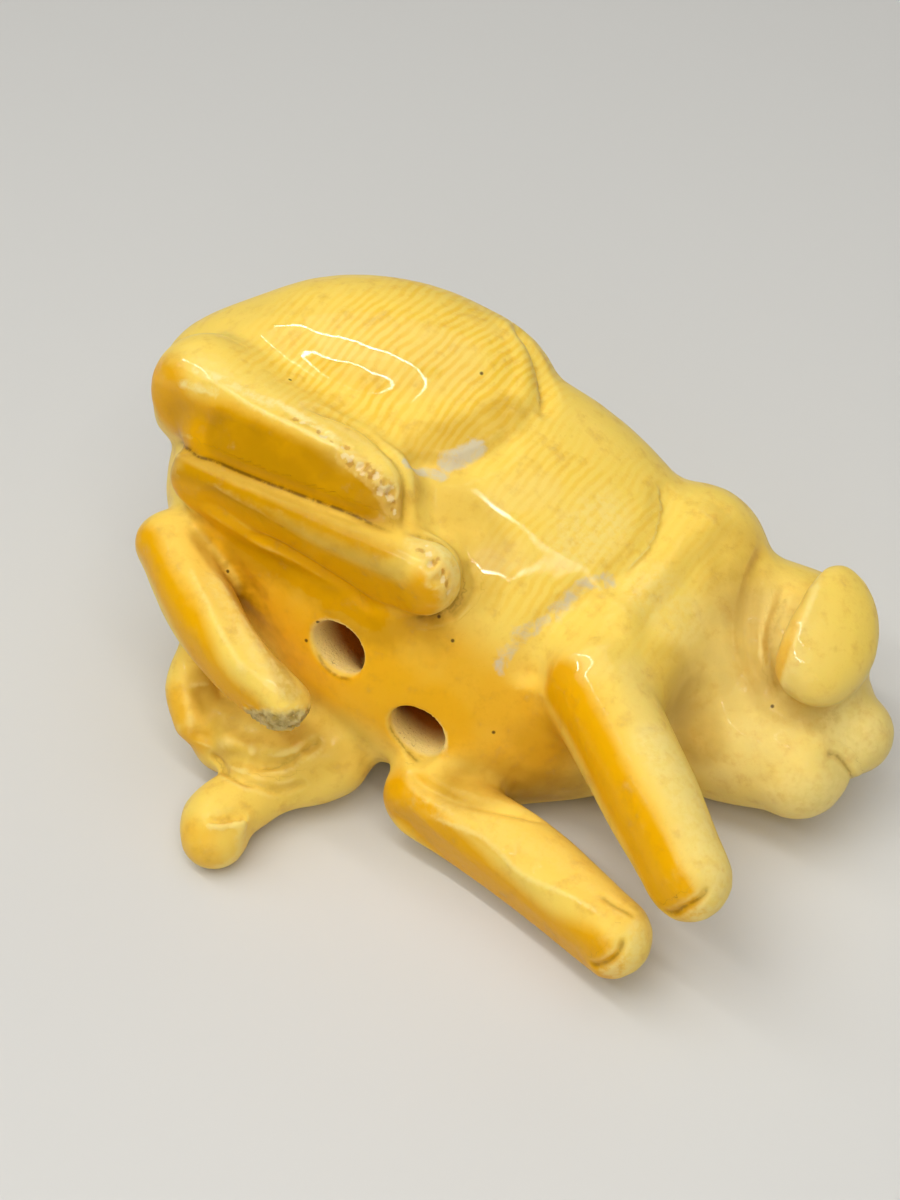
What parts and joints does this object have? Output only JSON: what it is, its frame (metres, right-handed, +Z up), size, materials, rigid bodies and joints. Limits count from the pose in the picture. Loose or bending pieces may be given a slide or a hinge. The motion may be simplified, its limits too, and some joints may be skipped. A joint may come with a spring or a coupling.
{
  "type": "netsuke",
  "caption": "Carved toggle shaped as a crouching dog with a small pup at its hip, lying on its side, with a curved cord channel through the belly.",
  "frame": {"origin": "on the table, below the middle of the carving's outline", "axes": "+X along the length towards the dog's nose, -Y towards the side that the belly faces, +Z up"},
  "size_m": [0.0456, 0.0402, 0.025],
  "materials": {
    "ivory": "polished, yellow-stained ivory-like material under a glossy coat"
  },
  "bodies": {
    "root": {"netsuke_dog": "ivory"}
  },
  "joints": []
}
